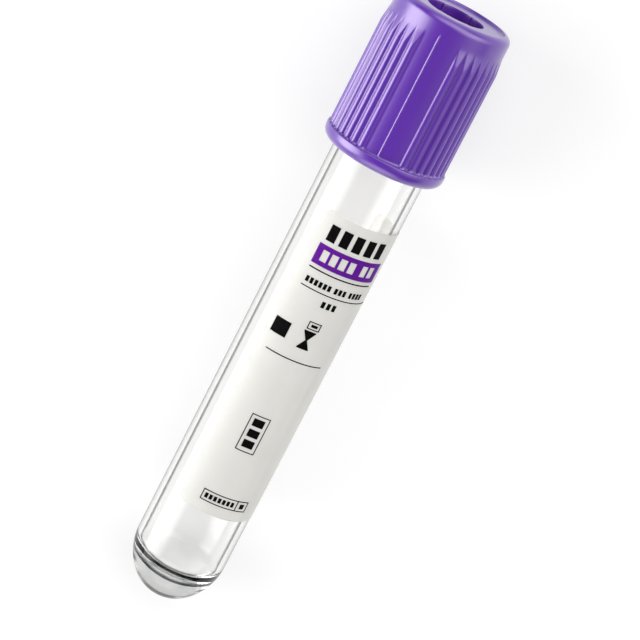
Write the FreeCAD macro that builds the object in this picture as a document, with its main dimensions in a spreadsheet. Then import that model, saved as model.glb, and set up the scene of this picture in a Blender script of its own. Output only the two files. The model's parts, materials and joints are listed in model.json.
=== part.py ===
"""Blood collection tube: a round-ended glass tube, its rubber stopper, a ribbed plastic cap and a label.

Every piece is drawn upright in a frame of its own: the tip of the tube's round end is at the origin, the
tube's axis is +Z, and the middle of the printed side looks along -X. The finished piece is then laid down
on its side, with the printed side up, so that it rests on the round end and on the edge of the cap.
"""
import FreeCAD, Part
import math
import os

import Sketcher

doc = FreeCAD.newDocument("BloodCollectionTube")
Vector = FreeCAD.Vector

# ---------------------------------------------------------------------------------------------------------
# Sizes, in millimetres and degrees
# ---------------------------------------------------------------------------------------------------------

SIZES = (
    ("tube_diameter", "12.5", "outside of the glass"),
    ("tube_length", "75", "tip of the round end to the mouth"),
    ("tube_wall", "0.7", "thickness of the glass"),
    ("mouth_draw", "0.03", "how far the fire polish draws the glass in, from the cap's foot to the mouth"),
    ("nose_gain", "0.75", "how much sharper the nose is than the tube's radius"),
    ("shoulder_gain", "1.75", "how much flatter the shoulder is than the tube's radius"),
    ("floor_thickness", "3.7", "glass under the middle of the inside floor"),
    ("floor_gain", "2.2", "how much flatter the inside floor is than the bore's radius"),
    ("floor_corner", "2.2", "round between the inside floor and the wall"),
    ("cap_overlap", "9.6", "how far the skirt reaches down over the glass"),
    ("skirt_clearance", "0.15", "gap between the glass and the skirt, each side"),
    ("skirt_lead", "0.4", "chamfer inside the skirt's foot"),
    ("ledge_width", "0.5", "ledge in the cap that the stopper's head sits on"),
    ("cap_wall", "0.8", "plastic outside the stopper's head, between the ribs"),
    ("band_reach", "0.5", "how far the smooth band at the foot stands out of the wall"),
    ("band_height", "1.86", "foot to the top of the band"),
    ("band_round", "1.3", "round under the band"),
    ("band_edge", "0.15", "round over the band"),
    ("foot_flat", "0.1", "least flat that the rounds leave on the foot and the band"),
    ("top_round", "1.0", "round outside the cap's rim"),
    ("rim_width", "1.05", "width of the raised rim on the cap's top"),
    ("rim_flat", "0.05", "least flat that the round leaves on the rim"),
    ("recess_depth", "0.3", "how far the top's face lies below the rim"),
    ("plate_thickness", "1.3", "plastic round the needle opening"),
    ("opening_diameter", "7.3", "needle opening, front to back"),
    ("relief_gain", "0.18", "how much deeper the opening's two side reliefs are"),
    ("relief_angle", "118", "how far round each side relief runs"),
    ("rib_height", "0.3", "how far the ribs stand out of the cap's wall"),
    ("rib_width", "1.02", "foot of one rib"),
    ("rib_root", "0.25", "how far the ribs are let into the wall"),
    ("rib_stop", "2.84", "tips of the ribs to the cap's top"),
    ("rib_taper", "2.1", "length over which the ribs run out"),
    ("rib_count", "16", "ribs on each side of the cap"),
    ("panel_half_angle", "22", "middle of a plain panel to the first rib"),
    ("seam_width", "0.16", "mould seam up each plain panel"),
    ("seam_height", "0.08", "how far the seam stands out"),
    ("seam_stop", "2.3", "end of the seam to the cap's top"),
    ("seam_angle", "3", "how far the seam lies off the middle of the panel"),
    ("seat_gap", "0.1", "gap between the glass mouth and the stopper's head"),
    ("head_height", "9.8", "stopper's head, from the ledge to the cap's top plate"),
    ("head_clearance", "0.05", "gap between the stopper's head and the cap, each side"),
    ("plug_clearance", "0.05", "gap between the plug and the bore, each side"),
    ("plug_length", "7.0", "how far the plug reaches into the tube"),
    ("plug_lead", "0.6", "chamfer at the plug's foot"),
    ("well_diameter", "6.8", "well that the needle comes down"),
    ("septum_thickness", "4.2", "rubber that the needle goes through"),
    ("hollow_diameter", "6.0", "hollow in the plug's foot"),
    ("hollow_depth", "2.4", "straight part of the hollow"),
    ("hollow_cone", "1.2", "cone above the straight part"),
    ("label_low", "15.2", "tip of the tube to the label's lower edge"),
    ("label_gap", "7.2", "label's upper edge to the cap's foot"),
    ("label_width", "20", "round the tube"),
    ("label_left_angle", "31", "middle of the printed side to the label's left edge"),
    ("label_film", "0.08", "thickness of the film"),
    ("label_corner", "0.9", "round of the label's corners"),
    ("ink_film", "0.03", "thickness of the print"),
    ("line_width", "0.13", "line of the printed frames"),
)

# Sizes and places that follow from the driving ones. Heights are measured up from the tube's tip.
PLACES = (
    ("tube_radius", "=Sizes.tube_diameter / 2"),
    ("bore_radius", "=tube_radius - Sizes.tube_wall"),
    ("nose_radius", "=tube_radius - Sizes.nose_gain"),
    ("shoulder_radius", "=tube_radius + Sizes.shoulder_gain"),
    ("blend_reach", "=Sizes.shoulder_gain + Sizes.nose_gain"),
    ("shoulder_level", "=nose_radius + sqrt(blend_reach ^ 2 - Sizes.shoulder_gain ^ 2)"),
    ("blend_radius", "=nose_radius * Sizes.shoulder_gain / blend_reach"),
    ("blend_level", "=nose_radius * (1 - (shoulder_level - nose_radius) / blend_reach)"),
    ("mouth_radius", "=tube_radius - Sizes.mouth_draw"),
    ("lip_round", "=(mouth_radius - bore_radius) / 2"),
    ("lip_radius", "=bore_radius + lip_round"),
    ("lip_level", "=Sizes.tube_length - lip_round"),
    ("floor_radius", "=bore_radius + Sizes.floor_gain"),
    ("floor_reach", "=floor_radius - Sizes.floor_corner"),
    ("floor_run", "=bore_radius - Sizes.floor_corner"),
    ("floor_rise", "=sqrt(floor_reach ^ 2 - floor_run ^ 2)"),
    ("wall_level", "=Sizes.floor_thickness + floor_radius - floor_rise"),
    ("dish_radius", "=floor_radius * floor_run / floor_reach"),
    ("dish_level", "=Sizes.floor_thickness + floor_radius * (1 - floor_rise / floor_reach)"),
    ("skirt_radius", "=tube_radius + Sizes.skirt_clearance"),
    ("ledge_radius", "=skirt_radius + Sizes.ledge_width"),
    ("cap_radius", "=ledge_radius + Sizes.cap_wall"),
    ("cap_foot", "=Sizes.tube_length - Sizes.cap_overlap"),
    ("ledge_level", "=Sizes.tube_length + Sizes.seat_gap"),
    ("plate_level", "=ledge_level + Sizes.head_height"),
    ("recess_level", "=plate_level + Sizes.plate_thickness"),
    ("cap_top", "=recess_level + Sizes.recess_depth"),
    ("skirt_lead_radius", "=skirt_radius + Sizes.skirt_lead"),
    ("skirt_lead_level", "=cap_foot + Sizes.skirt_lead"),
    ("band_radius", "=cap_radius + Sizes.band_reach"),
    ("band_room", "=min(band_radius - skirt_lead_radius; Sizes.band_height - Sizes.band_edge)"),
    ("band_foot_round", "=min(Sizes.band_round; band_room - Sizes.foot_flat)"),
    ("band_foot_radius", "=band_radius - band_foot_round"),
    ("band_foot_level", "=cap_foot + band_foot_round"),
    ("band_level", "=cap_foot + Sizes.band_height"),
    ("band_edge_radius", "=band_radius - Sizes.band_edge"),
    ("band_edge_level", "=band_level - Sizes.band_edge"),
    ("top_edge_round", "=min(Sizes.top_round; Sizes.rim_width - Sizes.rim_flat)"),
    ("top_edge_radius", "=cap_radius - top_edge_round"),
    ("top_edge_level", "=cap_top - top_edge_round"),
    ("recess_radius", "=cap_radius - Sizes.rim_width"),
    ("opening_radius", "=Sizes.opening_diameter / 2"),
    ("relief_radius", "=opening_radius + Sizes.relief_gain"),
    ("relief_across", "=relief_radius * sin(Sizes.relief_angle / 2)"),
    ("relief_along", "=relief_radius * cos(Sizes.relief_angle / 2)"),
    ("rib_root_radius", "=cap_radius - Sizes.rib_root"),
    ("rib_half", "=Sizes.rib_width / 2"),
    ("rib_round", "=(rib_half ^ 2 + Sizes.rib_height ^ 2) / (2 * Sizes.rib_height)"),
    ("rib_tip_level", "=cap_top - Sizes.rib_stop"),
    ("rib_length", "=rib_tip_level - band_level"),
    ("rib_cut_radius", "=cap_radius + 2 * Sizes.rib_height"),
    ("rib_cut_level", "=rib_tip_level - 2 * Sizes.rib_taper"),
    ("rib_sweep", "=180 - 2 * Sizes.panel_half_angle"),
    ("seam_half", "=Sizes.seam_width / 2"),
    ("seam_radius", "=cap_radius + Sizes.seam_height"),
    ("seam_length", "=cap_top - Sizes.seam_stop - band_level"),
    ("head_radius", "=ledge_radius - Sizes.head_clearance"),
    ("plug_radius", "=bore_radius - Sizes.plug_clearance"),
    ("plug_level", "=Sizes.tube_length - Sizes.plug_length"),
    ("plug_lead_radius", "=plug_radius - Sizes.plug_lead"),
    ("plug_lead_level", "=plug_level + Sizes.plug_lead"),
    ("hollow_radius", "=Sizes.hollow_diameter / 2"),
    ("hollow_level", "=plug_level + Sizes.hollow_depth"),
    ("hollow_top_level", "=hollow_level + Sizes.hollow_cone"),
    ("well_radius", "=Sizes.well_diameter / 2"),
    ("well_level", "=hollow_top_level + Sizes.septum_thickness"),
    ("film_radius", "=tube_radius + Sizes.label_film"),
    ("label_high", "=cap_foot - Sizes.label_gap"),
    ("label_length", "=label_high - Sizes.label_low"),
    ("label_start", "=180 - Sizes.label_left_angle"),
    ("label_span", "=Sizes.label_width / tube_radius * 180 / pi"),
    ("line_angle", "=Sizes.line_width / film_radius * 180 / pi"),
    ("cutter_radius", "=film_radius - Sizes.ink_film"),
    ("cutter_width", "=3 * Sizes.ink_film"),
    ("rest_run", "=band_foot_level - shoulder_level"),
    ("rest_drop", "=band_foot_radius + Sizes.shoulder_gain"),
    ("rest_rise", "=shoulder_radius - band_foot_round"),
    ("tilt", "=atan(rest_drop / rest_run) - asin(rest_rise / sqrt(rest_run ^ 2 + rest_drop ^ 2))"),
    ("tip_height", "=shoulder_radius - shoulder_level * sin(tilt) - Sizes.shoulder_gain * cos(tilt)"),
    ("nose_reach", "=nose_radius * (1 - cos(tilt))"),
    ("cap_reach", "=top_edge_level * cos(tilt) + top_edge_radius * sin(tilt) + top_edge_round"),
    ("tip_place", "=(nose_reach - cap_reach) / 2"),
)

# The print is laid out in percent of the label, across from its left edge and up from its lower edge.
# Each row is one bar or a run of equal bars: left, low, width, height, count, step across, step up.
BLACK_BARS = (
    ("title", 9.3, 91.8, 5.9, 5.1, 5, 8.7, 0),
    ("upper_rule", 7.6, 82.5, 47.5, 0.4, 1, 0, 0),
    ("contents_a", 9.3, 78.1, 2.1, 1.8, 6, 3.05, 0),
    ("contents_b", 29.2, 78.1, 2.1, 1.8, 3, 3.05, 0),
    ("contents_c", 40.2, 78.1, 2.1, 1.8, 4, 3.05, 0),
    ("middle_rule", 8.2, 76.6, 54.0, 0.3, 1, 0, 0),
    ("volume", 25.6, 72.8, 2.4, 2.0, 3, 3.8, 0),
    ("square", 3.8, 59.8, 10.9, 4.9, 1, 0, 0),
    ("tag_mark", 26.2, 66.2, 4.4, 0.9, 1, 0, 0),
    ("glass_ends", 23.5, 58.9, 8.1, 0.35, 2, 0, 5.65),
    ("lower_rule", 6.8, 54.4, 41.2, 0.33, 1, 0, 0),
    ("upright_marks", 21.2, 24.0, 7.5, 2.5, 3, 0, 3.6),
    ("foot_marks", 15.2, 4.5, 2.1, 1.6, 7, 3.05, 0),
    ("foot_divider", 37.4, 3.5, 0.7, 3.6, 1, 0, 0),
    ("foot_end_mark", 40.3, 4.5, 3.4, 1.6, 1, 0, 0),
)
BLACK_FRAMES = (
    ("tag_frame", 24.0, 65.4, 8.5, 2.5),
    ("upright_frame", 18.5, 22.5, 12.9, 12.4),
    ("foot_frame", 13.1, 3.5, 33.3, 3.6),
)
HOURGLASS = (23.5, 59.2, 8.1, 5.4)
VIOLET_BAND = ("violet_band", 7.25, 84.0, 48.9, 6.4)
VIOLET_GAPS = (
    ("gaps_a", 11.5, 85.45, 4.4, 3.5, 4, 6.3, 0),
    ("gaps_b", 39.9, 85.45, 4.4, 3.5, 2, 6.3, 0),
)


def fill_sheet(name, rows):
    """A sheet with one named cell a row; rows are (name, content) or (name, content, note)."""
    sheet = doc.addObject("Spreadsheet::Sheet", name)
    for number, row in enumerate(rows, start=1):
        sheet.set(f"A{number}", row[0])
        sheet.set(f"B{number}", row[1])
        sheet.setAlias(f"B{number}", row[0])
        sheet.set(f"C{number}", row[2] if len(row) > 2 else "")
    doc.recompute()
    return sheet


sizes = fill_sheet("Sizes", SIZES)
places = fill_sheet("Places", PLACES)


def cell(name):
    """The full name of a cell, for an expression, and its value; a leading minus is kept."""
    sign = -1 if name.startswith("-") else 1
    alias = name.lstrip("-")
    sheet = sizes if sizes.getCellFromAlias(alias) else places
    return f"{name[:-len(alias)]}{sheet.Name}.{alias}", sign * float(sheet.get(alias))


# ---------------------------------------------------------------------------------------------------------
# Sketches and bodies
# ---------------------------------------------------------------------------------------------------------

def new_body(name):
    """A Body whose Label names its file."""
    body = doc.addObject("PartDesign::Body", name)
    body.Label = name
    return body


def origin_part(body, role):
    """A plane or axis of the body's own origin."""
    return next(part for part in body.Origin.OriginFeatures if part.Role == role)


def arc_between(start, end, radius, turn):
    """The arc of this radius from start to end; turn is +1 where it bends to the left, -1 to the right."""
    chord = end - start
    offset = math.sqrt(max(radius ** 2 - (chord.Length / 2) ** 2, 0))
    centre = (start + end) / 2 + Vector(-chord.y, chord.x, 0).normalize() * offset * turn
    first, last = (start, end) if turn > 0 else (end, start)
    angles = [math.atan2(point.y - centre.y, point.x - centre.x) for point in (first, last)]
    if angles[1] < angles[0]:
        angles[1] += 2 * math.pi
    return Part.ArcOfCircle(Part.Circle(centre, Vector(0, 0, 1), radius), *angles)


def outline(body, name, plane, corners, arcs=None):
    """A closed, fully constrained sketch.

    corners are (across, along) pairs of cell names, with None for a corner on an axis. arcs gives
    the edges that are round: the number of the corner an edge starts from, its radius and its turn.
    """
    sketch = body.newObject("Sketcher::SketchObject", name)
    sketch.AttachmentSupport = [(origin_part(body, plane), "")]
    sketch.MapMode = "FlatFace"
    arcs = arcs or {}
    points = [Vector(*(cell(part)[1] if part else 0 for part in corner), 0) for corner in corners]
    ends = []
    for number, start in enumerate(points):
        end = points[(number + 1) % len(points)]
        if number in arcs:
            radius, turn = arcs[number]
            sketch.addGeometry(arc_between(start, end, cell(radius)[1], turn), False)
            ends.append((1, 2) if turn > 0 else (2, 1))
        else:
            sketch.addGeometry(Part.LineSegment(start, end), False)
            ends.append((1, 2))
    for number, (first, last) in enumerate(ends):
        following = (number + 1) % len(ends)
        sketch.addConstraint(Sketcher.Constraint("Coincident", number, last, following, ends[following][0]))
        for part, kind, axis in zip(corners[number], ("DistanceX", "DistanceY"), (-2, -1)):
            if part is None:
                sketch.addConstraint(Sketcher.Constraint("PointOnObject", number, first, axis))
                continue
            expression, value = cell(part)
            place = sketch.addConstraint(Sketcher.Constraint(kind, number, first, value))
            sketch.setExpression(f"Constraints[{place}]", expression)
    for number, (radius, _) in arcs.items():
        expression, value = cell(radius)
        place = sketch.addConstraint(Sketcher.Constraint("Radius", number, value))
        sketch.setExpression(f"Constraints[{place}]", expression)
    return sketch


def turned(body, name, sketch, kind="PartDesign::Revolution", angle="360"):
    """The sketch turned about the body's own Z axis, as a Revolution or a Groove."""
    feature = body.newObject(kind, name)
    feature.Profile = sketch
    feature.ReferenceAxis = (origin_part(body, "Z_Axis"), [""])
    feature.setExpression("Angle", angle)
    doc.recompute()
    return feature


def lay_down(piece):
    """The piece's resting place: printed side up, on the round end and the edge of the cap."""
    piece.Placement = FreeCAD.Placement(Vector(), FreeCAD.Rotation(Vector(0, 1, 0), 90))
    piece.setExpression("Placement.Rotation.Angle", "90 deg - Places.tilt")
    piece.setExpression("Placement.Base.x", "Places.tip_place")
    piece.setExpression("Placement.Base.z", "Places.tip_height")
    return piece


# ---------------------------------------------------------------------------------------------------------
# Tube: drawn glass with a fire-polished lip, its round end closed over a thick floor
# ---------------------------------------------------------------------------------------------------------

def make_tube():
    body = new_body("tube")
    corners = (
        (None, None),
        ("blend_radius", "blend_level"),
        ("tube_radius", "shoulder_level"),
        ("tube_radius", "cap_foot"),
        ("mouth_radius", "lip_level"),
        ("lip_radius", "tube_length"),
        ("bore_radius", "lip_level"),
        ("bore_radius", "wall_level"),
        ("dish_radius", "dish_level"),
        (None, "floor_thickness"),
    )
    arcs = {
        0: ("nose_radius", 1),
        1: ("shoulder_radius", 1),
        4: ("lip_round", 1),
        5: ("lip_round", 1),
        7: ("floor_corner", -1),
        8: ("floor_radius", -1),
    }
    turned(body, "TubeWall", outline(body, "TubeSection", "XZ_Plane", corners, arcs))
    return lay_down(body)


# ---------------------------------------------------------------------------------------------------------
# Stopper: one rubber moulding, a plug in the tube's mouth under a head with a well for the needle
# ---------------------------------------------------------------------------------------------------------

def make_stopper():
    body = new_body("stopper")
    corners = (
        (None, "hollow_top_level"),
        ("hollow_radius", "hollow_level"),
        ("hollow_radius", "plug_level"),
        ("plug_lead_radius", "plug_level"),
        ("plug_radius", "plug_lead_level"),
        ("plug_radius", "ledge_level"),
        ("head_radius", "ledge_level"),
        ("head_radius", "plate_level"),
        ("well_radius", "plate_level"),
        ("well_radius", "well_level"),
        (None, "well_level"),
    )
    turned(body, "StopperShape", outline(body, "StopperSection", "XZ_Plane", corners))
    return lay_down(body)


# ---------------------------------------------------------------------------------------------------------
# Cap: one plastic moulding that holds the stopper and reaches down over the glass
# ---------------------------------------------------------------------------------------------------------

def make_cap():
    body = new_body("cap")
    corners = (
        ("skirt_lead_radius", "cap_foot"),
        ("band_foot_radius", "cap_foot"),
        ("band_radius", "band_foot_level"),
        ("band_radius", "band_edge_level"),
        ("band_edge_radius", "band_level"),
        ("cap_radius", "band_level"),
        ("cap_radius", "top_edge_level"),
        ("top_edge_radius", "cap_top"),
        ("recess_radius", "cap_top"),
        ("recess_radius", "recess_level"),
        ("opening_radius", "recess_level"),
        ("opening_radius", "plate_level"),
        ("ledge_radius", "plate_level"),
        ("ledge_radius", "ledge_level"),
        ("skirt_radius", "ledge_level"),
        ("skirt_radius", "skirt_lead_level"),
    )
    arcs = {
        1: ("band_foot_round", 1),
        3: ("band_edge", 1),
        6: ("top_edge_round", 1),
    }
    turned(body, "CapWall", outline(body, "CapSection", "XZ_Plane", corners, arcs))
    add_reliefs(body)
    add_ribs(body)
    add_seams(body)
    return lay_down(body)


def around(body, name, feature, angle, count):
    """Copies of the feature round the body's Z axis; the body then ends with them."""
    pattern = body.newObject("PartDesign::PolarPattern", name)
    pattern.Originals = [feature]
    pattern.Axis = (origin_part(body, "Z_Axis"), [""])
    pattern.setExpression("Angle", angle)
    pattern.setExpression("Occurrences", count)
    body.Tip = pattern
    doc.recompute()
    return pattern


def raise_sketch(sketch, level, angle):
    """Moves a sketch from the body's XY plane up to a level, turned about Z."""
    sketch.AttachmentOffset = FreeCAD.Placement(Vector(), FreeCAD.Rotation(Vector(0, 0, 1), 1))
    sketch.setExpression("AttachmentOffset.Base.z", level)
    sketch.setExpression("AttachmentOffset.Rotation.Angle", angle)


def add_reliefs(body):
    """The needle opening's wall is let back a little to its left and right, each between two radial lines."""
    corners = (
        (None, None),
        ("relief_along", "-relief_across"),
        ("relief_along", "relief_across"),
    )
    sketch = outline(body, "ReliefSection", "XY_Plane", corners, {1: ("relief_radius", 1)})
    raise_sketch(sketch, "Places.recess_level", "90 deg")
    pocket = body.newObject("PartDesign::Pocket", "Relief")
    pocket.Profile = sketch
    pocket.setExpression("Length", "Sizes.plate_thickness")
    doc.recompute()
    around(body, "Reliefs", pocket, "360", "2")


def add_ribs(body):
    """Round-backed ribs in two groups, between the plain panels at the mould's split."""
    corners = (
        ("rib_root_radius", "-rib_half"),
        ("cap_radius", "-rib_half"),
        ("cap_radius", "rib_half"),
        ("rib_root_radius", "rib_half"),
    )
    for side, start in (("Left", "Sizes.panel_half_angle"), ("Right", "180 + Sizes.panel_half_angle")):
        sketch = outline(body, f"{side}RibSection", "XY_Plane", corners, {1: ("rib_round", 1)})
        raise_sketch(sketch, "Places.band_level", f"({start}) * 1 deg")
        rib = body.newObject("PartDesign::Pad", f"{side}Rib")
        rib.Profile = sketch
        rib.setExpression("Length", "Places.rib_length")
        doc.recompute()
        around(body, f"{side}Ribs", rib, "Places.rib_sweep", "Sizes.rib_count")
    corners = (
        ("cap_radius", "rib_tip_level"),
        ("rib_cut_radius", "rib_cut_level"),
        ("rib_cut_radius", "rib_tip_level"),
    )
    turned(body, "RibTips", outline(body, "RibTipSection", "XZ_Plane", corners), "PartDesign::Groove")


def add_seams(body):
    """The thin seam that the mould's split leaves up the middle of each plain panel."""
    corners = (
        ("rib_root_radius", "-seam_half"),
        ("seam_radius", "-seam_half"),
        ("seam_radius", "seam_half"),
        ("rib_root_radius", "seam_half"),
    )
    sketch = outline(body, "SeamSection", "XY_Plane", corners)
    raise_sketch(sketch, "Places.band_level", "-Sizes.seam_angle * 1 deg")
    seam = body.newObject("PartDesign::Pad", "Seam")
    seam.Profile = sketch
    seam.setExpression("Length", "Places.seam_length")
    doc.recompute()
    around(body, "Seams", seam, "360", "2")


# ---------------------------------------------------------------------------------------------------------
# Label: a plastic film stuck half-way round the glass, with rounded corners
# ---------------------------------------------------------------------------------------------------------

def make_label():
    body = new_body("label")
    corners = (
        ("tube_radius", "label_low"),
        ("film_radius", "label_low"),
        ("film_radius", "label_high"),
        ("tube_radius", "label_high"),
    )
    sketch = outline(body, "LabelSection", "XZ_Plane", corners)
    sketch.AttachmentOffset = FreeCAD.Placement(Vector(), FreeCAD.Rotation(Vector(0, 1, 0), 1))
    sketch.setExpression("AttachmentOffset.Rotation.Angle", "Places.label_start * 1 deg")
    film = turned(body, "LabelFilm", sketch, angle="Places.label_span")
    corner_edges = [
        f"Edge{number}"
        for number, edge in enumerate(film.Shape.Edges, start=1)
        if edge.Length < 2 * float(sizes.label_film)
    ]
    rounding = body.newObject("PartDesign::Fillet", "LabelCorners")
    rounding.Base = (film, corner_edges)
    rounding.setExpression("Radius", "Sizes.label_corner")
    doc.recompute()
    return lay_down(body)


# ---------------------------------------------------------------------------------------------------------
# Print: thin fields of ink on the label
# ---------------------------------------------------------------------------------------------------------

def ring_piece(name, left, low, wide, tall, inner="film_radius", depth="Sizes.ink_film"):
    """A piece of ring over one field of the label, all in expressions: percent of the label, plus
    any margin in degrees or millimetres."""
    section = doc.addObject("Part::Plane", f"{name}_section")
    section.Placement = FreeCAD.Placement(Vector(), FreeCAD.Rotation(Vector(1, 0, 0), 90))
    section.setExpression("Length", depth)
    section.setExpression("Width", tall)
    section.setExpression("Placement.Base.x", f"Places.{inner}")
    section.setExpression("Placement.Base.z", low)
    piece = doc.addObject("Part::Revolution", name)
    piece.Source = section
    piece.Axis = Vector(0, 0, 1)
    piece.Solid = True
    piece.Placement = FreeCAD.Placement(Vector(), FreeCAD.Rotation(Vector(0, 0, 1), 1))
    piece.setExpression("Angle", wide)
    piece.setExpression("Placement.Rotation.Angle", f"({left}) * 1 deg")
    return piece


def across(percent):
    """A share of the label's way round, in degrees."""
    return f"Places.label_span * {percent:.2f} / 100"


def upward(percent):
    """A share of the label's length, in millimetres."""
    return f"Places.label_length * {percent:.2f} / 100"


def bar(name, left, low, wide, tall, **reach):
    """One printed bar, placed in percent of the label."""
    return ring_piece(
        name,
        f"Places.label_start + {across(left)}",
        f"Sizes.label_low + {upward(low)}",
        across(wide),
        upward(tall),
        **reach,
    )


def bars(rows, **reach):
    """Every bar of the rows given. A row is one bar or a run of equal bars."""
    return [
        bar(f"{name}_{number + 1}", left + number * step, low + number * rise, wide, tall, **reach)
        for name, left, low, wide, tall, count, step, rise in rows
        for number in range(count)
    ]


def cut(name, base, tool):
    """The base less the tool."""
    result = doc.addObject("Part::Cut", name)
    result.Base = base
    result.Tool = tool
    return result


def group(name, pieces):
    """Several solids as one object."""
    result = doc.addObject("Part::Compound", name)
    result.Links = pieces
    return result


THROUGH = {"inner": "cutter_radius", "depth": "Places.cutter_width"}


def frame(name, left, low, wide, tall):
    """A printed rectangle with a bare middle."""
    outer = bar(f"{name}_outer", left, low, wide, tall)
    inner = ring_piece(
        f"{name}_inner",
        f"Places.label_start + {across(left)} + Places.line_angle",
        f"Sizes.label_low + {upward(low)} + Sizes.line_width",
        f"{across(wide)} - 2 * Places.line_angle",
        f"{upward(tall)} - 2 * Sizes.line_width",
        **THROUGH,
    )
    return cut(name, outer, inner)


def bulb(name, low, end_width, top_width):
    """One bulb of the hourglass, as a radial prism over the line of +X."""
    prism = doc.addObject("Part::Wedge", name)
    prism.Placement = FreeCAD.Placement(Vector(), FreeCAD.Rotation(Vector(1, 1, 1), 120))
    prism.setExpression("Placement.Base.z", low)
    half = f"Places.label_length * {HOURGLASS[3] / 200:.4f}"
    bounds = (
        ("Xmin", f"-({end_width}) / 2"),
        ("Xmax", f"({end_width}) / 2"),
        ("X2min", f"-({top_width}) / 2"),
        ("X2max", f"({top_width}) / 2"),
        ("Ymin", "0"),
        ("Ymax", half),
        ("Zmin", "Places.tube_radius"),
        ("Zmax", "Places.cap_radius"),
        ("Z2min", "Places.tube_radius"),
        ("Z2max", "Places.cap_radius"),
    )
    for edge, expression in bounds:
        prism.setExpression(edge, expression)
    return prism


def hourglass():
    """Two bulbs that meet at a narrow neck, drawn on the film over +X and then turned into place."""
    left, low, wide, tall = HOURGLASS
    level = f"Sizes.label_low + {upward(low)}"
    width = f"Sizes.label_width * {wide / 100:.4f}"
    neck = "2 * Sizes.line_width"
    film = ring_piece("hourglass_film", f"-{across(wide)} / 2", level, across(wide), upward(tall))
    bulbs = group("hourglass_bulbs", [
        bulb("lower_bulb", level, width, neck),
        bulb("upper_bulb", f"{level} + {upward(tall / 2)}", neck, width),
    ])
    result = doc.addObject("Part::Common", "hourglass")
    result.Base = film
    result.Tool = bulbs
    result.Placement = FreeCAD.Placement(Vector(), FreeCAD.Rotation(Vector(0, 0, 1), 1))
    middle = across(left + wide / 2)
    result.setExpression("Placement.Rotation.Angle", f"(Places.label_start + {middle}) * 1 deg")
    return result


def make_violet_ink():
    gaps = group("violet_gaps", bars(VIOLET_GAPS, **THROUGH))
    result = cut("ink_violet", bar(*VIOLET_BAND), gaps)
    result.Label = "ink_violet"
    return lay_down(result)


def make_black_ink():
    frames = [frame(*row) for row in BLACK_FRAMES]
    result = group("ink_black", bars(BLACK_BARS) + frames + [hourglass()])
    result.Label = "ink_black"
    return lay_down(result)


# ---------------------------------------------------------------------------------------------------------
# Build, check and write
# ---------------------------------------------------------------------------------------------------------

pieces = [make_tube(), make_stopper(), make_cap(), make_label(), make_violet_ink(), make_black_ink()]
doc.recompute()

for thing in doc.Objects:
    if "Invalid" in thing.State or "Error" in thing.State:
        raise RuntimeError(f"{thing.Name} did not compute: {thing.State}")

for piece in pieces:
    if piece.Shape.isNull() or not piece.Shape.isValid() or not piece.Shape.Solids:
        raise RuntimeError(f"{piece.Label} has no sound shape")

os.makedirs("parts", exist_ok=True)
for piece in pieces:
    piece.Shape.exportStep(f"parts/{piece.Label}.step")
    box = piece.Shape.BoundBox
    print(
        f"{piece.Label}: {len(piece.Shape.Solids)} solids, {piece.Shape.Volume:.2f} mm3, "
        f"x {box.XMin:.3f} {box.XMax:.3f}, y {box.YMin:.3f} {box.YMax:.3f}, z {box.ZMin:.3f} {box.ZMax:.3f}"
    )
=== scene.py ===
"""Dresses the blood collection tube: clear glass, wrapped label with print, rubber stopper, ribbed cap.

Every piece is drawn upright, in millimetres, with its round end at the origin, its cap up the Z axis and
its printed side towards -X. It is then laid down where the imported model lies.
"""

import json
import math

import bpy
from mathutils import Matrix, Vector


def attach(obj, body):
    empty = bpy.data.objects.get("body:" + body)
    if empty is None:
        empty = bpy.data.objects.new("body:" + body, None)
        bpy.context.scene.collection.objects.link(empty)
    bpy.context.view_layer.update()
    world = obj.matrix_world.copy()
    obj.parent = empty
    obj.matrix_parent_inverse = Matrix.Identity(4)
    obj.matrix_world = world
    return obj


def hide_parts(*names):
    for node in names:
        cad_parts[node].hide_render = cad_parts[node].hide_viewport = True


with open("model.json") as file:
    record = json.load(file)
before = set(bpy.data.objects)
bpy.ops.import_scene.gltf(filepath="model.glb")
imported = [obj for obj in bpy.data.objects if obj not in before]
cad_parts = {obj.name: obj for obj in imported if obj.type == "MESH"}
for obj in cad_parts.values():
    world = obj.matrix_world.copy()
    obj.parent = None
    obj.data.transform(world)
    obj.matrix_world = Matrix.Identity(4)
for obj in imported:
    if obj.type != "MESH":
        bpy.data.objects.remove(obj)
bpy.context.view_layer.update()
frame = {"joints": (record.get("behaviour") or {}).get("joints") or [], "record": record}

# ---------------------------------------------------------------------------------------------------------
# How the tube lies: along the pull of its cap, with the round end low and the print up.
# The needle well's middle is a known way up the tube, and gives the place of the round end.
# ---------------------------------------------------------------------------------------------------------

WELL_MIDDLE = 80.35
along = Vector(frame["joints"][0]["axis"]).normalized()
aside = Vector((0, -1, 0))
upward = aside.cross(along)
well = next(mount for mount in frame["record"]["mounts"] if mount["name"] == "needle_well")
round_end = Vector(well["pos_m"]) - along * WELL_MIDDLE / 1000
lying = Matrix.Translation(round_end) @ Matrix((-upward, -aside, along)).transposed().to_4x4()


def from_round_end(right, height, forward):
    """A place in the row frame: millimetres aside, up off the tube's axis and along it."""
    return round_end + (aside * right + upward * height + along * forward) / 1000


# ---------------------------------------------------------------------------------------------------------
# Camera: a long lens that looks down on the lying tube from beyond its cap end, and is turned about its
# own line of sight, so that the tube leans across the picture.
# ---------------------------------------------------------------------------------------------------------

CAMERA_PLACE = (2.48, 342.4, 143.5)
CAMERA_DIP = math.radians(16.316)
CAMERA_ROLL = math.radians(27.372)
CAMERA_LENS = 157.5

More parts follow.
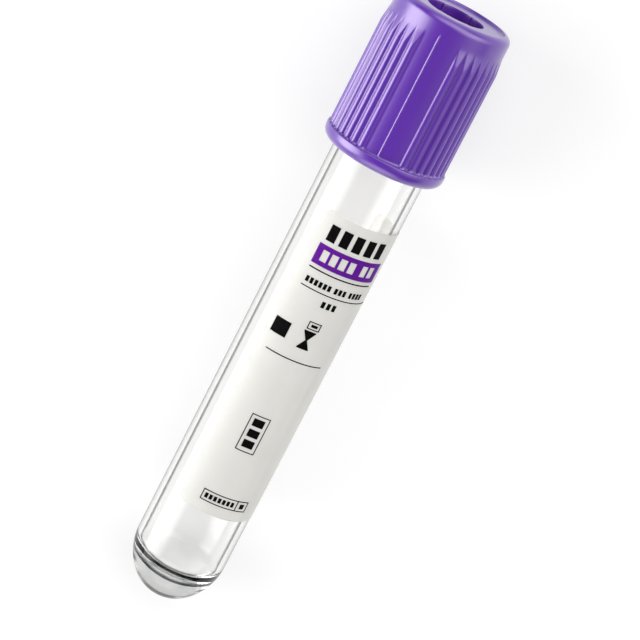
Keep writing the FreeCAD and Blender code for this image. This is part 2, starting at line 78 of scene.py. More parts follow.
ahead = -math.cos(CAMERA_DIP) * upward - math.sin(CAMERA_DIP) * along
level_top = ahead.cross(aside) * -1
picture_right = math.cos(CAMERA_ROLL) * aside + math.sin(CAMERA_ROLL) * level_top
picture_top = math.cos(CAMERA_ROLL) * level_top - math.sin(CAMERA_ROLL) * aside

lens = bpy.data.cameras.new("camera")
lens.lens = CAMERA_LENS
lens.sensor_width = 36
lens.clip_start = 0.01
camera = bpy.data.objects.new("camera", lens)
camera.matrix_world = (
    Matrix.Translation(from_round_end(*CAMERA_PLACE))
    @ Matrix((picture_right, picture_top, -ahead)).transposed().to_4x4()
)
bpy.context.scene.collection.objects.link(camera)
bpy.context.scene.camera = camera
bpy.context.scene.view_settings.view_transform = "Standard"


# ---------------------------------------------------------------------------------------------------------
# Floor and light: a white table top that glows a little, so that it stays even, in a dim room. Six far
# windows with soft rims light it: the strongest is low on the camera's left, weaker ones are on the right
# and beyond both ends of the tube.
# ---------------------------------------------------------------------------------------------------------

def new_material(name):
    """A node material with one Principled shader, and ways to add nodes and links to it."""
    material = bpy.data.materials.new(name)
    material.use_nodes = True
    tree = material.node_tree
    return material, tree, tree.nodes["Principled BSDF"]


def add_node(tree, kind, settings=None, **inputs):
    """A node with its settings, and with its inputs set or linked. Input names use _ for a space."""
    node = tree.nodes.new(kind)
    for key, value in (settings or {}).items():
        setattr(node, key, value)
    for key, value in inputs.items():
        socket = node.inputs[int(key[1:])] if key[1:].isdigit() else node.inputs[key.replace("_", " ")]
        if isinstance(value, bpy.types.NodeSocket):
            tree.links.new(value, socket)
        else:
            socket.default_value = value
    return node


def ramp(tree, factor, *stops):
    """A colour ramp through the stops given as (place, colour)."""
    node = add_node(tree, "ShaderNodeValToRGB", Fac=factor)
    elements = node.color_ramp.elements
    while len(elements) < len(stops):
        elements.new(0.5)
    for element, (place, colour) in zip(elements, stops):
        element.position = place
        element.color = (*colour, 1)
    return node.outputs["Color"]


FLOOR_REACH = 1.6

floor_mesh = bpy.data.meshes.new("floor")
floor_mesh.from_pydata(
    [(x * FLOOR_REACH, y * FLOOR_REACH, 0) for x, y in ((-1, -1), (1, -1), (1, 1), (-1, 1))],
    [], [(0, 1, 2, 3)])
floor = bpy.data.objects.new("floor", floor_mesh)
bpy.context.scene.collection.objects.link(floor)
floor_finish, tree, shader = new_material("white_table_top")
place = add_node(tree, "ShaderNodeTexCoord").outputs["Object"]
mottle = add_node(tree, "ShaderNodeTexNoise", Vector=place, Scale=35.0, Detail=3.0)
tree.links.new(
    ramp(tree, mottle.outputs["Fac"], (0.3, (0.27, 0.27, 0.27)), (0.7, (0.28, 0.28, 0.28))),
    shader.inputs["Base Color"])
shader.inputs["Roughness"].default_value = 0.9
shader.inputs["Specular IOR Level"].default_value = 0.1
shader.inputs["Emission Color"].default_value = (1, 1, 1, 1)
shader.inputs["Emission Strength"].default_value = 0.61
floor.data.materials.append(floor_finish)

# Name, direction (aside, up, along), half-width in degrees of the full core and of the rim, strength.
WINDOWS = (
    ("window_left", (-420, 190, -130), 14, 36, 5.2),
    ("window_left_low", (-420, 110, -60), 14, 36, 2.0),
    ("window_right", (420, 200, 150), 14, 36, 1.8),
    ("window_right_high", (300, 330, 200), 14, 36, 2.0),
    ("window_round_end", (0, 200, -450), 14, 36, 2.6),
    ("window_cap_end", (0, 300, 420), 14, 36, 2.8),
)

world = bpy.data.worlds.new("room")
bpy.context.scene.world = world
world.use_nodes = True
tree = world.node_tree
direction = add_node(tree, "ShaderNodeTexCoord").outputs["Generated"]
rise = add_node(tree, "ShaderNodeSeparateXYZ", Vector=direction).outputs["Z"]
light = add_node(
    tree, "ShaderNodeMapRange", {"interpolation_type": "SMOOTHSTEP", "name": "walls"},
    Value=rise, From_Min=0.0, From_Max=0.7, To_Min=0.06, To_Max=0.15).outputs["Result"]
for name, (right, height, forward), core, rim, strength in WINDOWS:
    towards = (aside * right + upward * height + along * forward).normalized()
    facing = add_node(
        tree, "ShaderNodeVectorMath", {"operation": "DOT_PRODUCT"}, _0=direction, _1=towards)
    glow = add_node(
        tree, "ShaderNodeMapRange", {"interpolation_type": "SMOOTHSTEP", "name": name},
        Value=facing.outputs["Value"], From_Min=math.cos(math.radians(rim)),
        From_Max=math.cos(math.radians(core)), To_Min=0.0, To_Max=strength)
    light = add_node(tree, "ShaderNodeMath", _0=light, _1=glow.outputs["Result"]).outputs["Value"]
background = tree.nodes["Background"]
background.inputs["Color"].default_value = (1, 1, 1, 1)
tree.links.new(light, background.inputs["Strength"])


# ---------------------------------------------------------------------------------------------------------
# Tube: drawn borosilicate glass with a full round lip, closed at the other end by a thick round base.
# The wall is even, the base is heavy, and the dish inside the base is flatter than the outside.
# ---------------------------------------------------------------------------------------------------------

def arc(middle_r, middle_z, radius, start, end, steps):
    """Points of an arc in the (radius, height) plane. Angles are in degrees, 0 away from the axis."""
    return [
        (middle_r + radius * math.cos(math.radians(start + (end - start) * i / steps)),
         middle_z + radius * math.sin(math.radians(start + (end - start) * i / steps)))
        for i in range(steps + 1)
    ]


def straight(start, end, steps):
    """The points between two points of a section, without its ends."""
    return [
        (start[0] + (end[0] - start[0]) * i / steps, start[1] + (end[1] - start[1]) * i / steps)
        for i in range(1, steps)
    ]


def place_piece(name, points, faces, body, slot, replaced, smooth=True):
    """Lays a piece drawn upright down on its body, and hides the imported part that it replaces."""
    mesh = bpy.data.meshes.new(name)
    mesh.from_pydata([lying @ (Vector(point) / 1000) for point in points], [], faces)
    mesh.validate()
    if smooth:
        mesh.shade_smooth()
    piece = bpy.data.objects.new(name, mesh)
    bpy.context.scene.collection.objects.link(piece)
    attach(piece, body)
    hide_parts(replaced)
    return piece


def turned_mesh(section, steps):
    """Points and faces of a section turned about the axis. The section runs with the solid on its left
    and may start and end on the axis, where a ring closes to one point."""
    points, rings, faces = [], [], []
    for radius, height in section:
        if radius < 1e-6:
            rings.append([len(points)] * steps)
            points.append((0, 0, height))
            continue
        rings.append(list(range(len(points), len(points) + steps)))
        for i in range(steps):
            turn = 2 * math.pi * i / steps
            points.append((radius * math.cos(turn), radius * math.sin(turn), height))
    closed = section[0][0] > 1e-6
    for low, high in zip(rings, rings[1:] + rings[:1] if closed else rings[1:]):
        for i in range(steps):
            j = (i + 1) % steps
            corners = [low[i], low[j], high[j], high[i]]
            faces.append(tuple(dict.fromkeys(corners)))
    return points, faces


GLASS_RADIUS = 6.25
BORE_RADIUS = 5.55
TUBE_LENGTH = 75.0
MOUTH_LOW = 65.4
MOUTH_RADIUS = 6.22
NOSE_RADIUS = 5.5
NOSE_END = math.degrees(math.asin((1.572 - 5.5) / 5.5))
SHOULDER_RADIUS = 8.0
SHOULDER_LEVEL = 7.285
SHOULDER_START = math.degrees(math.asin((1.572 - 7.285) / 8.0))
DISH_RADIUS = 7.75
DISH_LEVEL = 11.45
DISH_END = math.degrees(math.asin((5.271 - 11.45) / 7.75))
CORNER_RADIUS = 2.2
CORNER_LEVEL = 7.025
CORNER_END = math.degrees(math.asin((5.271 - 7.025) / 2.2))

lip_round = (MOUTH_RADIUS - BORE_RADIUS) / 2
lip_level = TUBE_LENGTH - lip_round
outside = (
    [(0, 0)]
    + arc(0, NOSE_RADIUS, NOSE_RADIUS, -90, NOSE_END, 18)[1:]
    + arc(GLASS_RADIUS - SHOULDER_RADIUS, SHOULDER_LEVEL, SHOULDER_RADIUS, SHOULDER_START, 0, 16)[1:]
    + straight((GLASS_RADIUS, SHOULDER_LEVEL), (GLASS_RADIUS, MOUTH_LOW), 10)
    + [(GLASS_RADIUS, MOUTH_LOW)]
)
lip = arc(BORE_RADIUS + lip_round, lip_level, lip_round, 0, 180, 10)
inside = (
    straight((BORE_RADIUS, lip_level), (BORE_RADIUS, CORNER_LEVEL), 12)
    + arc(BORE_RADIUS - CORNER_RADIUS, CORNER_LEVEL, CORNER_RADIUS, 0, CORNER_END, 12)
    + arc(0, DISH_LEVEL, DISH_RADIUS, DISH_END, -90, 16)[1:-1]
    + [(0, DISH_LEVEL - DISH_RADIUS)]
)
points, faces = turned_mesh(outside + lip + inside, 192)
tube = place_piece("tube_glass", points, faces, "tube", "glass", "tube")
# One on the inside wall and floor, and zero outside: the two get different painted dark edge lines.
FLOOR_THICKNESS = DISH_LEVEL - DISH_RADIUS
within = tube.data.attributes.new("within", "FLOAT", "POINT")
within.data.foreach_set("value", [
    float(math.hypot(x, y) < BORE_RADIUS + 0.01 and z > FLOOR_THICKNESS - 0.1) for x, y, z in points])

glass, tree, shader = new_material("clear_glass")
place = add_node(tree, "ShaderNodeTexCoord").outputs["Object"]
drawn = add_node(tree, "ShaderNodeMapping", Vector=place, Scale=(30.0, 420.0, 420.0))
waves = add_node(tree, "ShaderNodeTexNoise", Vector=drawn.outputs["Vector"], Scale=1.0, Detail=2.0)
drawn_colour = ramp(tree, waves.outputs["Fac"], (0.2, (0.985, 0.983, 0.975)), (0.8, (1.0, 0.998, 0.99)))
reach = add_node(tree, "ShaderNodeSeparateXYZ", Vector=place).outputs["X"]
from_end = add_node(
    tree, "ShaderNodeMapRange", Value=reach, From_Min=round_end.x, From_Max=round_end.x + 0.009)
# Painted shade: the glass colour turns greyer towards the round end, standing in for shadow seen through the
# thick base.
painted_base_shade = ramp(tree, from_end.outputs["Result"], (0.3, (0.94, 0.945, 0.95)), (0.8, (1, 1, 1)))
glass_colour = add_node(
    tree, "ShaderNodeMix", {"data_type": "RGBA", "blend_type": "MULTIPLY"}, _0=1.0, _6=drawn_colour, _7=painted_base_shade)
tree.links.new(glass_colour.outputs[2], shader.inputs["Base Color"])
shader.inputs["Roughness"].default_value = 0.0
shader.inputs["IOR"].default_value = 1.47
shader.inputs["Transmission Weight"].default_value = 1.0
shader.inputs["Specular Tint"].default_value = (0.45, 0.45, 0.45, 1)
# Painted shade: where the wall turns away from the eye it is mixed towards a dark see-through colour, a
# painted dark line, harder on the inside than outside.
grazing = add_node(tree, "ShaderNodeLayerWeight", Blend=0.5).outputs["Facing"]
outer_painted_edge_shade = ramp(tree, grazing, (0.64, (0, 0, 0)), (0.82, (0.22, 0.22, 0.22)), (0.96, (0.55, 0.55, 0.55)))
inner_painted_edge_shade = ramp(tree, grazing, (0.64, (0, 0, 0)), (0.74, (0.85, 0.85, 0.85)), (0.82, (1, 1, 1)))
inside_of_bore = add_node(tree, "ShaderNodeAttribute", {"attribute_name": "within"}).outputs["Fac"]
# How much of the painted dark edge line each point takes.
edge = add_node(
    tree, "ShaderNodeMix", {"data_type": "RGBA"}, _0=inside_of_bore, _6=outer_painted_edge_shade, _7=inner_painted_edge_shade).outputs[2]
# The dark see-through colour of the painted edge lines.
painted_edge_dark = add_node(tree, "ShaderNodeBsdfTransparent", Color=(0.22, 0.24, 0.255, 1))
with_painted_edge_shade = add_node(
    tree, "ShaderNodeMixShader", Fac=edge, _1=shader.outputs["BSDF"], _2=painted_edge_dark.outputs["BSDF"])
# Light that falls through the glass loses little in the wall and most of its strength in the base.
ray = add_node(tree, "ShaderNodeLightPath")
shade = ramp(tree, from_end.outputs["Result"], (0.0, (0.08, 0.08, 0.08)), (1.0, (0.99, 0.99, 0.99)))
clear = add_node(tree, "ShaderNodeBsdfTransparent", Color=shade)
unseen = add_node(
    tree, "ShaderNodeMath", {"operation": "MAXIMUM"},
    _0=ray.outputs["Is Shadow Ray"], _1=ray.outputs["Is Diffuse Ray"])
light_through = add_node(
    tree, "ShaderNodeMixShader", Fac=unseen.outputs["Value"],
    _1=with_painted_edge_shade.outputs["Shader"], _2=clear.outputs["BSDF"])
tree.links.new(light_through.outputs["Shader"], tree.nodes["Material Output"].inputs["Surface"])
depth = add_node(
    tree, "ShaderNodeVolumeAbsorption", Color=(0.5, 0.5, 0.485, 1), Density=60.0)
tree.links.new(depth.outputs["Volume"], tree.nodes["Material Output"].inputs["Volume"])
tube.data.materials.append(glass)


# ---------------------------------------------------------------------------------------------------------
# Label: a white plastic film with round corners, stuck a little over half-way round the glass.
# It is thin and slightly milky, with a satin face that takes the print.
# ---------------------------------------------------------------------------------------------------------

LABEL_LOW = 15.2
LABEL_LENGTH = 43.0
LABEL_START = 149.0
LABEL_SPAN = 183.35
LABEL_CORNER = 0.9
FILM_INNER = 6.262
FILM_OUTER = 6.33


def round_point(radius, turn, height):
    """A point at a radius, an angle in degrees and a height."""
    return (radius * math.cos(math.radians(turn)), radius * math.sin(math.radians(turn)), height)


def wrapped_sheet(rows, inner, outer):
    """A closed sheet round the tube. Each row is (height, start angle, end angle), from low to high, and
    every row is divided alike."""
    steps = max(2, round(max(end - start for _, start, end in rows) / 2.5))
    points, faces = [], []
    wide, tall = steps + 1, len(rows)
    for radius in (outer, inner):
        for height, start, end in rows:
            points += [round_point(radius, start + (end - start) * i / steps, height) for i in range(wide)]
    back = wide * tall

    def at(row, column):
        return row * wide + column

    for row in range(tall - 1):
        for column in range(steps):
            quad = (at(row, column), at(row, column + 1), at(row + 1, column + 1), at(row + 1, column))
            faces.append(quad)
            faces.append(tuple(back + corner for corner in reversed(quad)))
    rim = (
        [at(0, column) for column in range(wide)]
        + [at(row, steps) for row in range(1, tall)]
        + [at(tall - 1, column) for column in range(steps - 1, -1, -1)]
        + [at(row, 0) for row in range(tall - 2, 0, -1)]
    )
    for here, there in zip(rim, rim[1:] + rim[:1]):
        faces.append((there, here, back + here, back + there))
    return points, faces


corner_steps = 6
rows = []
for i in range(corner_steps + 1):
    lean = math.radians(90 * i / corner_steps)
    inset = math.degrees(LABEL_CORNER * (1 - math.sin(lean)) / FILM_OUTER)
    rows.append((LABEL_LOW + LABEL_CORNER * (1 - math.cos(lean)), inset))
top_rows = [(2 * LABEL_LOW + LABEL_LENGTH - height, inset) for height, inset in reversed(rows)]
middle_rows = [(height, 0.0) for _, height in straight((0, rows[-1][0]), (0, top_rows[0][0]), 12)]
label_rows = [
    (height, LABEL_START + inset, LABEL_START + LABEL_SPAN - inset)
    for height, inset in rows + middle_rows + top_rows
]
label = place_piece(
    "label_film", *wrapped_sheet(label_rows, FILM_INNER, FILM_OUTER), "tube", "label_film", "label",
    smooth=False)
label.data.shade_smooth()
label.data.set_sharp_from_angle(angle=math.radians(40))

film, tree, shader = new_material("satin_white_film")
place = add_node(tree, "ShaderNodeTexCoord").outputs["Object"]
cloud = add_node(tree, "ShaderNodeTexNoise", Vector=place, Scale=140.0, Detail=4.0)
grain = add_node(tree, "ShaderNodeTexNoise", Vector=place, Scale=5200.0, Detail=2.0)
tree.links.new(
    ramp(tree, cloud.outputs["Fac"], (0.3, (0.505, 0.50, 0.475)), (0.7, (0.525, 0.52, 0.495))),
    shader.inputs["Base Color"])
fleck = add_node(tree, "ShaderNodeBump", Strength=0.12, Distance=0.00002, Height=grain.outputs["Fac"])
tree.links.new(fleck.outputs["Normal"], shader.inputs["Normal"])
shader.inputs["Roughness"].default_value = 0.42
ray = add_node(tree, "ShaderNodeLightPath")
let_through = add_node(
    tree, "ShaderNodeMath", {"operation": "MULTIPLY_ADD"}, _0=ray.outputs["Is Shadow Ray"], _1=0.3, _2=0.36)
clear = add_node(tree, "ShaderNodeBsdfTransparent")
light_through = add_node(
    tree, "ShaderNodeMixShader", Fac=let_through.outputs[0],
    _1=shader.outputs["BSDF"], _2=clear.outputs["BSDF"])
tree.links.new(light_through.outputs["Shader"], tree.nodes["Material Output"].inputs["Surface"])
label.data.materials.append(film)


# ---------------------------------------------------------------------------------------------------------
# Print: violet and black ink in plain bars, rules, frames and an hourglass, a few hundredths thick.
# Places and sizes are percent of the label: left, low, width, height, then count, step across, step up.
# ---------------------------------------------------------------------------------------------------------

INK_BASE = FILM_OUTER + 0.002
INK_TOP = FILM_OUTER + 0.03
LINE_WIDTH = 0.13
BLACK_BARS = (
    ("title", 9.3, 91.8, 5.9, 5.1, 5, 8.7, 0),
    ("upper_rule", 7.6, 82.5, 47.5, 0.4, 1, 0, 0),
    ("contents_a", 9.3, 78.1, 2.1, 1.8, 6, 3.05, 0),
    ("contents_b", 29.2, 78.1, 2.1, 1.8, 3, 3.05, 0),
    ("contents_c", 40.2, 78.1, 2.1, 1.8, 4, 3.05, 0),
    ("middle_rule", 8.2, 76.6, 54.0, 0.3, 1, 0, 0),
    ("volume", 25.6, 72.8, 2.4, 2.0, 3, 3.8, 0),
    ("square", 3.8, 59.8, 10.9, 4.9, 1, 0, 0),
    ("tag_mark", 26.2, 66.2, 4.4, 0.9, 1, 0, 0),
    ("glass_ends", 23.5, 58.9, 8.1, 0.35, 2, 0, 5.65),
    ("lower_rule", 6.8, 54.4, 41.2, 0.33, 1, 0, 0),
    ("upright_marks", 21.2, 24.0, 7.5, 2.5, 3, 0, 3.6),
    ("foot_marks", 15.2, 4.5, 2.1, 1.6, 7, 3.05, 0),
    ("foot_divider", 37.4, 3.5, 0.7, 3.6, 1, 0, 0),
    ("foot_end_mark", 40.3, 4.5, 3.4, 1.6, 1, 0, 0),
)
BLACK_FRAMES = (
    (24.0, 65.4, 8.5, 2.5),
    (18.5, 22.5, 12.9, 12.4),
    (13.1, 3.5, 33.3, 3.6),
)
HOURGLASS = (23.5, 59.2, 8.1, 5.4)
VIOLET_BAND = (7.25, 84.0, 48.9, 6.4)
VIOLET_GAPS = (
    ("gaps_a", 11.5, 85.45, 4.4, 3.5, 4, 6.3, 0),
    ("gaps_b", 39.9, 85.45, 4.4, 3.5, 2, 6.3, 0),
)


def on_label(left, low, wide, tall):
    """A field in degrees round and millimetres up: (start, end, low, high)."""
    start = LABEL_START + LABEL_SPAN * left / 100
    bottom = LABEL_LOW + LABEL_LENGTH * low / 100
    return start, start + LABEL_SPAN * wide / 100, bottom, bottom + LABEL_LENGTH * tall / 100


def run_of(row):
    """The fields of one bar or a run of equal bars."""
    _, left, low, wide, tall, count, across, up = row
    return [on_label(left + i * across, low + i * up, wide, tall) for i in range(count)]


def inked(field):
    """One rectangle of ink."""
    start, end, low, high = field
    return wrapped_sheet([(low, start, end), (high, start, end)], INK_BASE, INK_TOP)


def around(field, gap_fields):
    """A rectangle of ink as strips that leave the gaps bare. The gaps share one low and one high edge."""
    start, end, low, high = field
    gap_low, gap_high = gap_fields[0][2:]
    strips = [(start, end, low, gap_low), (start, end, gap_high, high)]
    edges = [start] + [edge for gap in gap_fields for edge in gap[:2]] + [end]
    strips += [(left, right, gap_low, gap_high) for left, right in zip(edges[::2], edges[1::2])]
    return strips


def joined(parts):
    """Several meshes as one."""
    points, faces = [], []
    for part_points, part_faces in parts:
        faces += [tuple(len(points) + corner for corner in face) for face in part_faces]
        points += part_points
    return points, faces


def framed(field):
    """A printed rectangle with a bare middle."""
    start, end, low, high = field
    line = math.degrees(LINE_WIDTH / FILM_OUTER)
    middle = (start + line, end - line, low + LINE_WIDTH, high - LINE_WIDTH)
    return [inked(strip) for strip in around(field, [middle])]


def hourglass(field):
    """Two bulbs that meet at a narrow neck."""
    start, end, low, high = field
    middle, half = (start + end) / 2, (end - start) / 2
    neck = math.degrees(LINE_WIDTH / FILM_OUTER)
    waist = (low + high) / 2
    return wrapped_sheet(
        [(low, start, end), (waist, middle - neck, middle + neck), (high, middle - half, middle + half)],
        INK_BASE, INK_TOP)


def ink_finish(name, colour, pale_colour, roughness):
    """Printing ink with the slight unevenness of a pressed film."""
    material, tree, shader = new_material(name)
    place = add_node(tree, "ShaderNodeTexCoord").outputs["Object"]
    press = add_node(tree, "ShaderNodeTexNoise", Vector=place, Scale=2600.0, Detail=3.0)
    tree.links.new(
        ramp(tree, press.outputs["Fac"], (0.35, colour), (0.75, pale_colour)), shader.inputs["Base Color"])
    shader.inputs["Roughness"].default_value = roughness
    shader.inputs["Specular IOR Level"].default_value = 0.03
    return material


gaps = [field for row in VIOLET_GAPS for field in run_of(row)]
band = [inked(strip) for strip in around(on_label(*VIOLET_BAND), gaps)]
violet_print = place_piece("print_violet", *joined(band), "tube", "ink_violet", "ink_violet", smooth=False)
violet_print.data.materials.append(
    ink_finish("violet_ink", (0.075, 0.007, 0.175), (0.085, 0.010, 0.205), 0.4))

marks = [inked(field) for row in BLACK_BARS for field in run_of(row)]
for box in BLACK_FRAMES:
    marks += framed(on_label(*box))
marks.append(hourglass(on_label(*HOURGLASS)))
black_print = place_piece("print_black", *joined(marks), "tube", "ink_black", "ink_black", smooth=False)
black_print.data.materials.append(
    ink_finish("black_ink", (0.001, 0.001, 0.001), (0.003, 0.003, 0.003), 0.6))


# ---------------------------------------------------------------------------------------------------------
# Stopper: one moulded rubber plug. Its head fills the cap and has a well for the needle, and its skirt,
# hollow below, is pressed into the glass.
# ---------------------------------------------------------------------------------------------------------

HEAD_RADIUS = 6.85
HEAD_LOW = 75.1
HEAD_TOP = 84.9
WELL_RADIUS = 3.4
WELL_FLOOR = 75.8
PLUG_RADIUS = 5.5
PLUG_LOW = 68.0
HOLLOW_RADIUS = 3.0
HOLLOW_TOP = 70.4
HOLLOW_PEAK = 71.6
SOFT_EDGE = 0.3
PLUG_LEAD = 0.6

plug_section = (
    [(0, HOLLOW_PEAK)]
    + straight((0, HOLLOW_PEAK), (HOLLOW_RADIUS, HOLLOW_TOP), 4)
    + [(HOLLOW_RADIUS, HOLLOW_TOP)]
    + straight((HOLLOW_RADIUS, HOLLOW_TOP), (HOLLOW_RADIUS, PLUG_LOW), 4)
    + arc(HOLLOW_RADIUS + SOFT_EDGE, PLUG_LOW + SOFT_EDGE, SOFT_EDGE, 180, 270, 4)
    + arc(PLUG_RADIUS - PLUG_LEAD, PLUG_LOW + PLUG_LEAD, PLUG_LEAD, 270, 360, 6)
    + straight((PLUG_RADIUS, PLUG_LOW + PLUG_LEAD), (PLUG_RADIUS, HEAD_LOW), 6)
    + [(PLUG_RADIUS, HEAD_LOW)]
    + arc(HEAD_RADIUS - SOFT_EDGE, HEAD_LOW + SOFT_EDGE, SOFT_EDGE, 270, 360, 4)
    + straight((HEAD_RADIUS, HEAD_LOW), (HEAD_RADIUS, HEAD_TOP), 6)
    + arc(HEAD_RADIUS - SOFT_EDGE, HEAD_TOP - SOFT_EDGE, SOFT_EDGE, 0, 90, 4)
    + arc(WELL_RADIUS + SOFT_EDGE, HEAD_TOP - SOFT_EDGE, SOFT_EDGE, 90, 180, 4)
    + straight((WELL_RADIUS, HEAD_TOP), (WELL_RADIUS, WELL_FLOOR + SOFT_EDGE), 8)
    + arc(WELL_RADIUS - SOFT_EDGE, WELL_FLOOR + SOFT_EDGE, SOFT_EDGE, 0, -90, 4)
    + [(0, WELL_FLOOR)]
)
stopper = place_piece(
    "stopper", *turned_mesh(plug_section, 128), "closure", "stopper_rubber", "stopper")


def moulded_skin():
    """A node group for moulded parts: soft mottling of the colour, and a fine grain for the surface."""
    group = bpy.data.node_groups.new("moulded_skin", "ShaderNodeTree")
    for label_text, kind, value in (
        ("Colour", "NodeSocketColor", (0.5, 0.5, 0.5, 1)),
        ("Pale Colour", "NodeSocketColor", (0.6, 0.6, 0.6, 1)),
        ("Mottle Size", "NodeSocketFloat", 100.0),
        ("Grain Size", "NodeSocketFloat", 3000.0),
    ):
        socket = group.interface.new_socket(label_text, in_out="INPUT", socket_type=kind)
        socket.default_value = value
    group.interface.new_socket("Colour", in_out="OUTPUT", socket_type="NodeSocketColor")
    group.interface.new_socket("Grain", in_out="OUTPUT", socket_type="NodeSocketFloat")
    given = group.nodes.new("NodeGroupInput")
    place = add_node(group, "ShaderNodeTexCoord").outputs["Object"]
    mottle = add_node(
        group, "ShaderNodeTexNoise", Vector=place, Scale=given.outputs["Mottle Size"], Detail=3.0)
    grain = add_node(
        group, "ShaderNodeTexNoise", Vector=place, Scale=given.outputs["Grain Size"], Detail=2.0)
    blend = add_node(
        group, "ShaderNodeMix", {"data_type": "RGBA"}, _0=mottle.outputs["Fac"],
        _6=given.outputs["Colour"], _7=given.outputs["Pale Colour"])
    result = group.nodes.new("NodeGroupOutput")
    group.links.new(blend.outputs[2], result.inputs["Colour"])
    group.links.new(grain.outputs["Fac"], result.inputs["Grain"])
    return group


skin = moulded_skin()


def add_skin(tree, shader, colour, pale_colour, mottle_size, grain_size, grain_depth):
    """Gives a material the moulded skin, with its own colours and sizes."""
    node = add_node(tree, "ShaderNodeGroup", {"node_tree": skin})
    node.inputs["Colour"].default_value = (*colour, 1)
    node.inputs["Pale Colour"].default_value = (*pale_colour, 1)
    node.inputs["Mottle Size"].default_value = mottle_size
    node.inputs["Grain Size"].default_value = grain_size
    tree.links.new(node.outputs["Colour"], shader.inputs["Base Color"])
    bump = add_node(
        tree, "ShaderNodeBump", Strength=0.15, Distance=grain_depth, Height=node.outputs["Grain"])
    tree.links.new(bump.outputs["Normal"], shader.inputs["Normal"])


rubber, tree, shader = new_material("violet_rubber")
add_skin(tree, shader, (0.045, 0.014, 0.13), (0.06, 0.02, 0.17), 220.0, 2600.0, 0.00003)
shader.inputs["Roughness"].default_value = 0.55
stopper.data.materials.append(rubber)


# ---------------------------------------------------------------------------------------------------------
# Cap: one violet moulding that grips the stopper's head and reaches down outside the glass. Round-backed
# ribs run up both sides, and a faint seam crosses each plain panel where the mould parts.
# ---------------------------------------------------------------------------------------------------------

CAP_FOOT = 65.4
CAP_TOP = 86.5
CAP_RADIUS = 7.7
SKIRT_BORE = 6.4
SKIRT_LEAD = 0.4
LEDGE_RADIUS = 6.9
PLATE_UNDERSIDE = 84.9
RECESS_LEVEL = 86.2
RECESS_RADIUS = 6.65
TOP_ROUND = 1.0
OPENING_RADIUS = 3.65
RELIEF_RADIUS = 3.83
RELIEF_HALF = 59.0
BAND_RADIUS = 8.2
BAND_TOP = 67.26
BAND_ROUND = 1.3
BAND_EDGE = 0.15
RIB_FIRST = 22.0
RIB_STEP = 136 / 15
RIBS_A_SIDE = 16
RIB_ROUND = 0.58
RIB_HEIGHT = 0.3
RIB_TIP = 83.66
RIB_RUN_OUT = 2.1
SEAM_TURN = 177.0
SEAM_HALF = 0.08
SEAM_HEIGHT = 0.08
SEAM_TOP = 84.2
RIM_EDGE = 0.08


def rib_rise(turn, height):
    """How far the ribs stand out of the cap's wall at an angle and height."""
    offset = min(
        abs((turn - side - RIB_FIRST - i * RIB_STEP + 180) % 360 - 180)
        for side in (0, 180) for i in range(RIBS_A_SIDE)
    )
    hub = CAP_RADIUS + RIB_HEIGHT - RIB_ROUND
    across = hub * math.sin(math.radians(offset))
    rise = -RIB_HEIGHT
    if across < RIB_ROUND:
        rise = hub * math.cos(math.radians(offset)) + math.sqrt(RIB_ROUND ** 2 - across ** 2) - CAP_RADIUS
    rise = min(rise, RIB_HEIGHT * (RIB_TIP - height) / RIB_RUN_OUT)
    return (rise + math.sqrt(rise ** 2 + 0.03 ** 2)) / 2


def seam_rise(turn, height):
    """How far the mould's seam stands out of the plain panels."""
    offset = min(abs((turn - seam + 180) % 360 - 180) for seam in (SEAM_TURN, SEAM_TURN + 180))
    across = CAP_RADIUS * math.radians(offset)
    if height > SEAM_TOP or across > 3 * SEAM_HALF:
        return 0.0
    return SEAM_HEIGHT * math.exp(-((across / SEAM_HALF) ** 2))


def opening_at(turn):
    """The radius of the needle's opening, which is let back to the left and right."""
    offset = min(abs((turn - side + 180) % 360 - 180) for side in (90, 270))
    share = min(max((RELIEF_HALF + 0.6 - offset) / 1.2, 0), 1)
    return OPENING_RADIUS + (RELIEF_RADIUS - OPENING_RADIUS) * share


# Levels of the cap's wall: close together where the ribs run out and round the seam's end.
FLUTE_LOW = BAND_TOP + 0.4
FLUTE_HIGH = RIB_TIP - RIB_RUN_OUT - 0.3
wall_levels = (
    [BAND_TOP, BAND_TOP + 0.12, FLUTE_LOW]
    + [FLUTE_LOW + (FLUTE_HIGH - FLUTE_LOW) * i / 8 for i in range(1, 9)]
    + [RIB_TIP - RIB_RUN_OUT + RIB_RUN_OUT * i / 8 for i in range(9)]
    + [83.9, SEAM_TOP - 0.05, SEAM_TOP + 0.05, 84.8, 85.1, 85.3]
)


def plain(section):
    """Points of the cap's section that stay round all the way."""
    return [(radius, height, "plain") for radius, height in section]


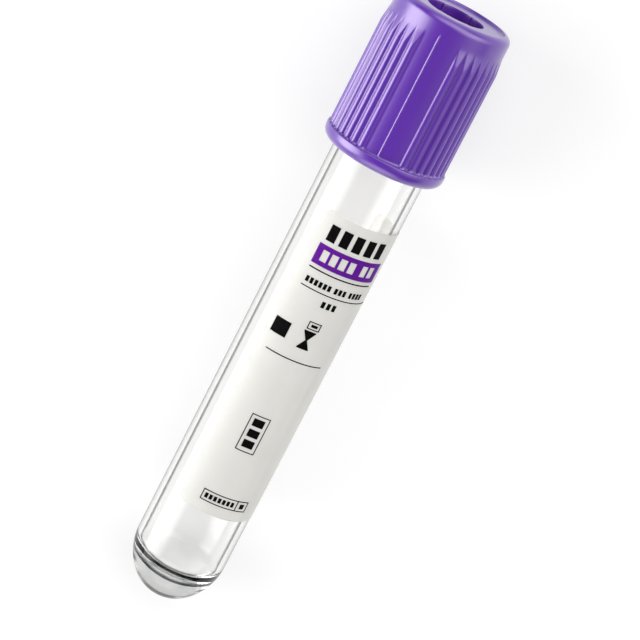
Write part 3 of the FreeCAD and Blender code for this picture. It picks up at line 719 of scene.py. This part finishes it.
outer_section = (
    [(SKIRT_BORE, CAP_FOOT + SKIRT_LEAD, "plain")]
    + [(SKIRT_BORE + SKIRT_LEAD, CAP_FOOT, "plain")]
    + plain(arc(BAND_RADIUS - BAND_ROUND, CAP_FOOT + BAND_ROUND, BAND_ROUND, 270, 360, 14))
    + plain(arc(BAND_RADIUS - BAND_EDGE, BAND_TOP - BAND_EDGE, BAND_EDGE, 0, 90, 4))
    + [(CAP_RADIUS + 0.12, BAND_TOP, "wall")]
    + [(CAP_RADIUS, level, "wall") for level in wall_levels[1:]]
    + plain(arc(CAP_RADIUS - TOP_ROUND, CAP_TOP - TOP_ROUND, TOP_ROUND, 0, 90, 12))
    + [(RECESS_RADIUS + 0.02, CAP_TOP, "plain")]
    + [(RECESS_RADIUS, CAP_TOP - 0.03, "plain")]
    + [(RECESS_RADIUS, RECESS_LEVEL + 0.08, "plain"), (RECESS_RADIUS - 0.08, RECESS_LEVEL, "plain")]
    + [(r, RECESS_LEVEL, "plain") for r in (6.2, 5.6, 5.0, 4.5)]
    + [(RIM_EDGE * 2, RECESS_LEVEL, "hole"), (RIM_EDGE * 0.3, RECESS_LEVEL - RIM_EDGE * 0.3, "hole")]
    + [(0, level, "hole") for level in (RECESS_LEVEL - 0.16, 85.8, 85.4, 85.1, PLATE_UNDERSIDE)]
    + [(LEDGE_RADIUS, PLATE_UNDERSIDE, "plain")]
    + [(LEDGE_RADIUS, level, "plain") for level in (84.6, 80.0, HEAD_LOW)]
    + [(SKIRT_BORE, HEAD_LOW, "plain")]
    + [(SKIRT_BORE, level, "plain") for level in (74.7, 70.0, 66.2)]
)

turns = set()
for side in (0, 180):
    for i in range(RIBS_A_SIDE):
        for offset in (-4.53, -4.1, -3.7, -3.2, -2.5, -1.7, -0.85, 0, 0.85, 1.7, 2.5, 3.2, 3.7, 4.1):
            turns.add(round((side + RIB_FIRST + i * RIB_STEP + offset) % 360, 3))
    for i in range(1, 18):
        turns.add(round((side + 162.5 + i * 35 / 18) % 360, 3))
    for offset in (-1.8, -1.2, -0.8, -0.5, -0.25, 0, 0.25, 0.5, 0.8, 1.2, 1.8):
        turns.add(round((side + SEAM_TURN + offset) % 360, 3))
    for edge in (90 - RELIEF_HALF, 90 + RELIEF_HALF):
        for offset in (-0.6, -0.3, 0, 0.3, 0.6):
            turns.add(round((side + edge + offset) % 360, 3))
turns = sorted(turns)
turns = [turn for turn, after in zip(turns, turns[1:] + [turns[0] + 360]) if after - turn > 0.12]

points, faces = [], []
for base, level, kind in outer_section:
    for turn in turns:
        radius = base
        if kind == "wall":
            radius += max(rib_rise(turn, level), seam_rise(turn, level))
        if kind == "hole":
            radius += opening_at(turn)
        points.append(round_point(radius, turn, level))
count = len(turns)
for row in range(len(outer_section)):
    below, above = row * count, (row + 1) % len(outer_section) * count
    for i in range(count):
        j = (i + 1) % count
        faces.append((below + i, below + j, above + j, above + i))
cap = place_piece("cap", points, faces, "closure", "cap_plastic", "cap")
cap.data.set_sharp_from_angle(angle=math.radians(50))

plastic, tree, shader = new_material("violet_plastic")
add_skin(tree, shader, (0.055, 0.0045, 0.225), (0.064, 0.006, 0.255), 160.0, 3400.0, 0.00002)
shader.inputs["Roughness"].default_value = 0.38
shader.inputs["Specular Tint"].default_value = (1.0, 0.72, 1.0, 1)
shader.inputs["Coat Weight"].default_value = 1.0
shader.inputs["Coat IOR"].default_value = 1.6
shader.inputs["Coat Roughness"].default_value = 0.28
shader.inputs["Subsurface Weight"].default_value = 0.12
shader.inputs["Subsurface Radius"].default_value = (0.3, 0.2, 0.6)
shader.inputs["Subsurface Scale"].default_value = 0.002
cap.data.materials.append(plastic)
